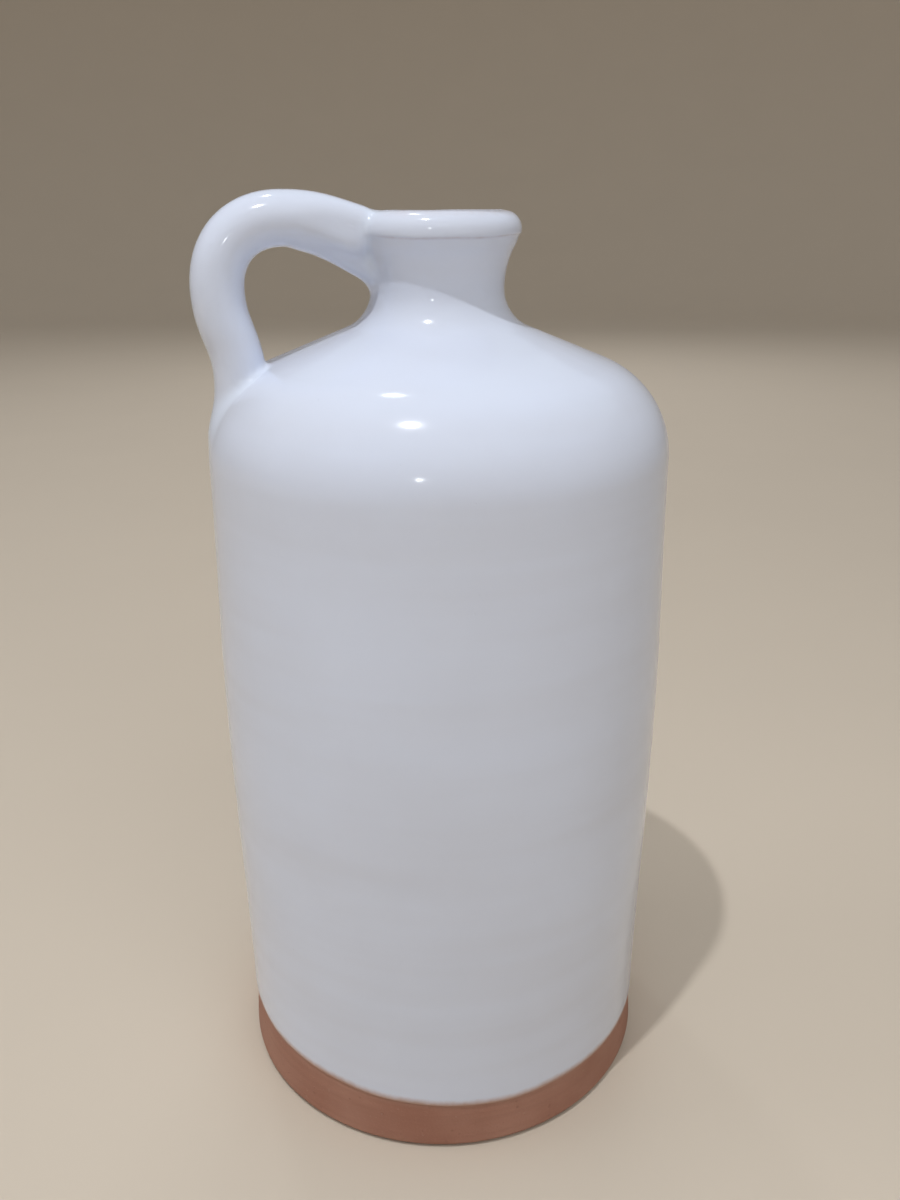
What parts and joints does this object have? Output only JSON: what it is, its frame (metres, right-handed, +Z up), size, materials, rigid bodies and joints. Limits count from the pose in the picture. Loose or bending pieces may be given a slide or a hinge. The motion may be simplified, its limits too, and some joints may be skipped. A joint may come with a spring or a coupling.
{
  "type": "ceramic bottle",
  "caption": "Upright white-glazed terracotta bottle with a bare clay foot, rounded shoulder, short flared neck and a loop handle from lip to shoulder, for holding and pouring liquids.",
  "frame": {"origin": "centre of the flat underside of the foot, on the bottle's axis", "axes": "+Z up along the bottle's axis, handle on the -X side, +Y to the side of the handle"},
  "size_m": [0.1166, 0.1166, 0.2348],
  "materials": {
    "terracotta": "matt bare fired clay, reddish brown",
    "luting_clay": "matt fired clay, slightly paler",
    "white_glaze": "glossy opaque white glaze, faintly blue, thin and warm at edges",
    "lining_glaze": "glossy white glaze, poured"
  },
  "bodies": {
    "root": {"thrown_body": "terracotta", "handle": "terracotta", "upper_luting_clay": "luting_clay", "lower_luting_clay": "luting_clay", "outer_glaze": "white_glaze", "inner_glaze": "lining_glaze"}
  },
  "joints": []
}
